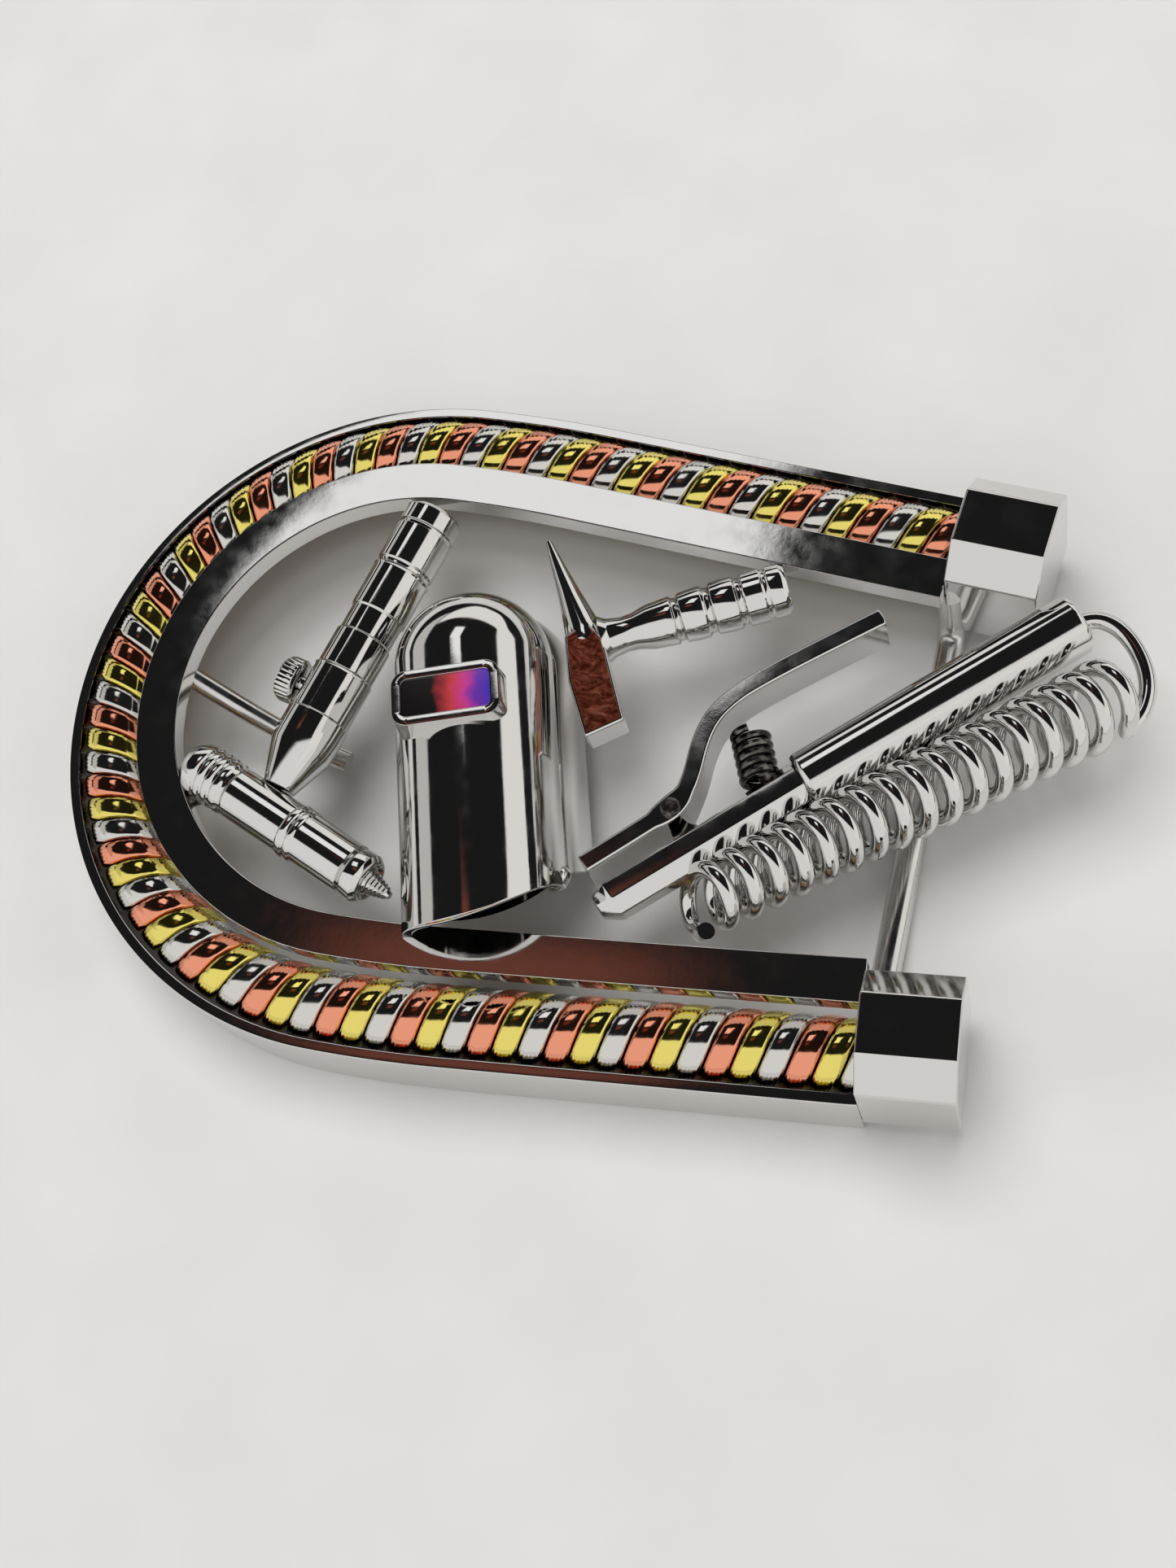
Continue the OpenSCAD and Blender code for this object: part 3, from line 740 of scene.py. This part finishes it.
class BUCKLE_OT_hammer(Operator):
    """The chipping hammer's head and turned handle"""
    bl_idname = "buckle.hammer"
    bl_label = "Chipping hammer"

    def execute(self, context):
        hub, tip = (45.0, 9.2), (38.0, 20.0)
        spike = aim(turned_shape([(-1.2, 1.5), (0, 1.95), (1.4, 1.9), (6.0, 1.15), (12.6, 0.3)],
                                 edge=0.1), hub, tip)
        blade = slab([(42.9, 8.9), (44.5, 4.2), (47.6, -1.4), (51.0, 1.0), (48.7, 5.6), (46.8, 9.4),
                      (44.8, 10.8)], TOOL_Z - 1.6, TOOL_Z + 1.8, edge=0.3, segments=3)
        head = joined(spike, blade)
        for f in head.faces:
            f.material_index = 1 if f.normal.z > 0.95 and f.calc_area() > 10 else 0
        put("hammer_head_forged", head, ["mirror_polished_steel", "brown_ground_steel"],
            ("hammer_head",))
        turned("hammer_handle_turned", (46.4, 9.7), (63.8, 18.0), [(0, 2.5), (0.8, 2.0), (2.2, 1.75),
               (3.4, 1.85), (4.8, 2.25), (6.6, 2.4), (7.3, 2.45), (7.5, 2.2), (7.9, 2.15),
               (8.2, 2.5), (9.4, 2.6), (10.4, 2.6), (10.7, 2.3), (11.1, 2.25), (11.4, 2.6),
               (12.6, 2.68), (13.7, 2.65), (13.9, 2.35), (14.3, 2.35), (14.6, 2.68),
               (16.4, 2.7), (16.6, 2.5), (16.9, 2.5), (17.1, 2.68), (18.4, 2.6), (18.9, 2.3)],
               "mirror_polished_steel", ("hammer_handle",))
        return {"FINISHED"}


# ---- electrode holder ----

JAW_TIP, COLLAR, GRIP_END = (52.4, -17.5), (68.9, -2.3), (91.4, 17.9)
HOLDER_TURN = math.atan2(COLLAR[1] - JAW_TIP[1], COLLAR[0] - JAW_TIP[0])
BODY_LENGTH = math.hypot(COLLAR[0] - JAW_TIP[0], COLLAR[1] - JAW_TIP[1])
PIVOT = (57.7, -7.5)
LEVER_LINE = [(50.6, -14.3), (54.2, -10.9), PIVOT, (58.9, -5.0), (58.9, 0.6), (60.2, 3.8),
              (63.2, 6.9), (73.6, 15.0)]


LEVER_DEPTH = 5.0


class BUCKLE_OT_holder(Operator):
    """The electrode holder's body, grip and lever lug"""
    bl_idname = "buckle.holder"
    bl_label = "Electrode holder"

    def execute(self, context):
        steel = "mirror_polished_steel"
        corners = [(2.4 * math.cos(a), 2.4 * math.sin(a))
                   for a in (math.pi / 8 + math.pi / 4 * i for i in range(8))]
        bm = swept(corners, BODY_LENGTH, 1)
        bmesh.ops.bisect_plane(bm, geom=bm.verts[:] + bm.edges[:] + bm.faces[:], dist=MERGE,
                               plane_co=(1.6, 0, 0), plane_no=X_AXIS)
        for v in bm.verts:
            if v.co.x < 1:
                v.co.y, v.co.z = v.co.y * 0.55, v.co.z * 0.6
        bmesh.ops.bisect_plane(bm, geom=bm.verts[:] + bm.edges[:] + bm.faces[:], dist=MERGE,
                               plane_co=(8.0, 0, 0), plane_no=X_AXIS)
        for v in bm.verts:
            if v.co.x < 8.01 and v.co.y > 1.1:
                v.co.y = 1.1
        soften(bm, 0.18, limit=20, segments=2)
        put("holder_body_faceted", aim(bm, JAW_TIP, COLLAR), steel, ("holder_body",))
        length = math.hypot(GRIP_END[0] - COLLAR[0], GRIP_END[1] - COLLAR[1])
        turned("holder_grip_turned", COLLAR, GRIP_END, [(0.02, 2.4), (0.1, 2.75), (0.45, 3.0),
               (length - 0.5, 3.0), (length - 0.15, 2.85), (length, 2.6)], steel, ("holder_grip",))
        lug = slab([(PIVOT[0] + x, PIVOT[1] + y) for x, y in
                    ((-1.2, 0.6), (-0.6, -1.2), (2.3, -4.0), (4.2, -2.1), (1.2, 1.0), (0, 1.4))],
                   6.9, 8.2)
        put("holder_lug_plate", lug, steel, ("holder_lug",))
        pin = turned_shape([(8.2, 0.55), (13.6, 0.55), (13.6, 1.0), (13.9, 0.95), (14.05, 0.6)],
                           segments=40, edge=0.05)
        bmesh.ops.rotate(pin, verts=pin.verts, cent=(0, 0, 0),
                         matrix=Matrix.Rotation(-math.pi / 2, 3, "Y"))
        bmesh.ops.translate(pin, verts=pin.verts, vec=(*PIVOT, 0))
        put("lever_pin_headed", pin, "weld_metal", ("lever_pin",), slot="dark_steel")
        return {"FINISHED"}


class BUCKLE_OT_lever(Operator):
    """The electrode holder's bent lever and its spring"""
    bl_idname = "buckle.lever"
    bl_label = "Lever"

    def execute(self, context):
        line = smooth_line([(x, y, 0) for x, y in LEVER_LINE], times=3)
        left, right = [], []
        for i, p in enumerate(line):
            run = (line[min(i + 1, len(line) - 1)] - line[max(i - 1, 0)]).normalized()
            near = max(0.0, 1 - ((p.x - PIVOT[0]) ** 2 + (p.y - PIVOT[1]) ** 2) / 4.84)
            half = (0.9 + 0.35 * near) * (0.5 if i in (0, len(line) - 1) else 1.0)
            left.append((p.x - half * run.y, p.y + half * run.x))
            right.append((p.x + half * run.y, p.y - half * run.x))
        bm = slab(left + right[::-1], TOOL_Z - LEVER_DEPTH / 2, TOOL_Z + LEVER_DEPTH / 2, edge=0)
        rims = [e for e in bm.edges if abs(e.verts[0].co.z - e.verts[1].co.z) < 1e-4
                and e.calc_face_angle(0) > 1]
        bmesh.ops.bevel(bm, geom=rims, offset=0.28, offset_type="OFFSET", segments=3, profile=0.5,
                        affect="EDGES", material=-1)
        put("holder_lever_bent", bm, "mirror_polished_steel", ("holder_lever",), body="lever")
        put("lever_spring_wound", wire(coil_line((62.95, 2.05), (65.1, -2.95), 1.6, 1.6, 6, 0.0,
            math.pi / 2), 0.4, 12), "darkened_spring_steel", ("lever_spring",),
            slot="dark_steel")
        return {"FINISHED"}


def coil_line(start, end, r0, r1, turns, lean, first, per_turn=26):
    """Points along a coil whose axis lies in plan; lean tips each turn's front along the coil."""
    a, b = Vector((*start, TOOL_Z)), Vector((*end, TOOL_Z))
    along = (b - a).normalized()
    across = Vector((-along.y, along.x, 0))
    points = []
    total = int(turns * per_turn)
    for i in range(total + 1):
        f = i / total
        angle = first + FULL_TURN * turns * f
        r = r0 + (r1 - r0) * f
        up = r * math.sin(angle)
        points.append(a.lerp(b, f) + across * (r * math.cos(angle)) + Z_AXIS * up - along * (lean * up))
    return points


class BUCKLE_OT_lead(Operator):
    """The curly lead and its tail, one length of rigid wire"""
    bl_idname = "buckle.lead"
    bl_label = "Curly lead"

    def execute(self, context):
        sizes = context.scene.buckle_sizes
        coil = coil_line((95.2, 10.3), (61.4, -15.8), 3.4, 2.75, sizes.lead_turns, 0.5, 0.0)
        tail = smooth_line([(90.6, 17.2, 11), (92.2, 18.3, 11), (94.0, 18.4, 11), (96.0, 17.2, 11),
                            (97.8, 14.8, 11), (98.7, 12.2, 11), (98.6, 9.8, 11), (97.9, 8.3, 11),
                            tuple(coil[0])], times=2)
        put("lead_wire_coiled", wire(tail[:-1] + coil, sizes.lead_wire / MM, 16),
            "mirror_polished_steel", ("lead_coil", "lead_tail"))
        return {"FINISHED"}


# ---- stage ----

CAMERA_PLACE = Vector((103.69, -72.10, 193.23))
CAMERA_RIGHT = Vector((0.9511, 0.2333, -0.2024))
CAMERA_UP = Vector((-0.1439, 0.9146, 0.3780))
LIGHT_PLACE = Vector((-0.15, 0.25, 1.1))  # metres


class BUCKLE_OT_stage(Operator):
    """Camera, white board, soft light and the dark room with its bright cards"""
    bl_idname = "buckle.stage"
    bl_label = "Stage"

    def execute(self, context):
        scene = context.scene
        lens = bpy.data.cameras.new("camera")
        lens.sensor_width, lens.lens = 36.0, 48.21
        lens.clip_start, lens.clip_end = 0.005, 20
        camera = bpy.data.objects.new("camera", lens)
        scene.collection.objects.link(camera)
        back = CAMERA_RIGHT.cross(CAMERA_UP)
        turn = Matrix((CAMERA_RIGHT, CAMERA_UP, back)).transposed().to_4x4()
        place = (CAMERA_PLACE + Vector((RIDGE_X, 0, 0))) * MM
        camera.matrix_world = Matrix.Translation(place) @ turn
        scene.camera = camera

        bm = bmesh.new()
        bmesh.ops.create_grid(bm, x_segments=1, y_segments=1, size=2.0)
        mesh = bpy.data.meshes.new("board")
        bm.to_mesh(mesh)
        bm.free()
        mesh.materials.append(finish("matt_white_board"))
        board = bpy.data.objects.new("board", mesh)
        scene.collection.objects.link(board)

        lamp = bpy.data.lights.new("overhead", "AREA")
        lamp.shape, lamp.size, lamp.energy = "DISK", 0.9, 9.0
        light = bpy.data.objects.new("overhead", lamp)
        light.location = LIGHT_PLACE
        light.rotation_euler = LIGHT_PLACE.to_track_quat("Z", "Y").to_euler()
        light.visible_glossy = light.visible_camera = False
        scene.collection.objects.link(light)

        world = bpy.data.worlds.new("room")
        world.use_nodes = True
        tree = world.node_tree
        tree.nodes.clear()
        way = add(tree, "ShaderNodeTexCoord").outputs["Generated"]
        parts = add(tree, "ShaderNodeSeparateXYZ", {"Vector": way}).outputs

        def math_node(operation, *values):
            return add(tree, "ShaderNodeMath", dict(enumerate(values)), operation=operation).outputs[0]

        def step(value, low, high):
            return add(tree, "ShaderNodeMapRange", {"Value": value, "From Min": low, "From Max": high},
                       interpolation_type="SMOOTHSTEP").outputs[0]

        up = math_node("MAXIMUM", parts["Z"], 0.02)
        side, ahead = math_node("DIVIDE", parts["X"], up), math_node("DIVIDE", parts["Y"], up)

        def card(x_low, x_high, y_low, y_high, soft):
            across = math_node("MULTIPLY", step(side, x_low - soft, x_low),
                               step(side, x_high + soft, x_high))
            down = math_node("MULTIPLY", step(ahead, y_low - soft, y_low),
                             step(ahead, y_high + soft, y_high))
            return math_node("MULTIPLY", across, down)

        # Each card is a patch of sky, by its slopes sideways and ahead; only reflections see it.
        table = step(ahead, -0.20, -0.30)
        window = card(-0.50, -0.25, 0.44, 0.85, 0.03)
        right_card = card(0.85, 9.0, -0.8, 3.0, 0.1)
        left_card = card(-9.0, -2.2, -0.8, 3.0, 0.3)
        far_card = card(-1.8, 1.8, 1.7, 9.0, 0.2)
        hand = card(-0.37, -0.28, 0.18, 0.25, 0.09)
        colour = add(tree, "ShaderNodeMix", {"Factor": hand, "A": grey(0.012), "B": linear("6E4034")},
                     data_type="RGBA")
        colour = colour.outputs[2]
        for share, tone in ((table, "EDECEA"), (window, "FFFFFF"), (right_card, "F4F2EE"),
                            (left_card, "C9C7C4"), (far_card, "F4F2EE")):
            mixed = add(tree, "ShaderNodeMix", {"Factor": share}, data_type="RGBA")
            tree.links.new(colour, mixed.inputs[6])
            mixed.inputs[7].default_value = linear(tone)
            colour = mixed.outputs[2]
        seen = add(tree, "ShaderNodeLightPath").outputs["Is Camera Ray"]
        shown = add(tree, "ShaderNodeMix", {"Factor": seen}, data_type="RGBA")
        tree.links.new(colour, shown.inputs[6])
        shown.inputs[7].default_value = linear("D2D1CF")
        glow = add(tree, "ShaderNodeBackground", {"Color": shown.outputs[2], "Strength": 1.0})
        output = add(tree, "ShaderNodeOutputWorld")
        tree.links.new(glow.outputs[0], output.inputs["Surface"])
        scene.world = world
        scene.view_settings.view_transform = "Standard"
        return {"FINISHED"}


PIECES = (BUCKLE_OT_stage, BUCKLE_OT_bars, BUCKLE_OT_rope, BUCKLE_OT_caps, BUCKLE_OT_back,
          BUCKLE_OT_torch, BUCKLE_OT_knob, BUCKLE_OT_helmet, BUCKLE_OT_lens, BUCKLE_OT_hammer,
          BUCKLE_OT_holder, BUCKLE_OT_lever, BUCKLE_OT_lead)


class BUCKLE_PT_pieces(Panel):
    """Lists the buckle's sizes, colours and pieces"""
    bl_label = "Belt buckle"
    bl_space_type = "VIEW_3D"
    bl_region_type = "UI"
    bl_category = "Buckle"

    def draw(self, context):
        for group in (context.scene.buckle_sizes, context.scene.buckle_colours):
            for key in group.__annotations__:
                self.layout.prop(group, key)
        for operator in PIECES:
            self.layout.operator(operator.bl_idname)


CLASSES = (BuckleSizes, BuckleColours, *PIECES, BUCKLE_PT_pieces)


def register():
    for item in CLASSES:
        bpy.utils.register_class(item)
    bpy.types.Scene.buckle_sizes = PointerProperty(type=BuckleSizes)
    bpy.types.Scene.buckle_colours = PointerProperty(type=BuckleColours)


def unregister():
    del bpy.types.Scene.buckle_colours, bpy.types.Scene.buckle_sizes
    for item in reversed(CLASSES):
        bpy.utils.unregister_class(item)


def main():
    register()
    for operator in PIECES:
        group, name = operator.bl_idname.split(".")
        getattr(getattr(bpy.ops, group), name)()


if __name__ == "__main__":
    main()
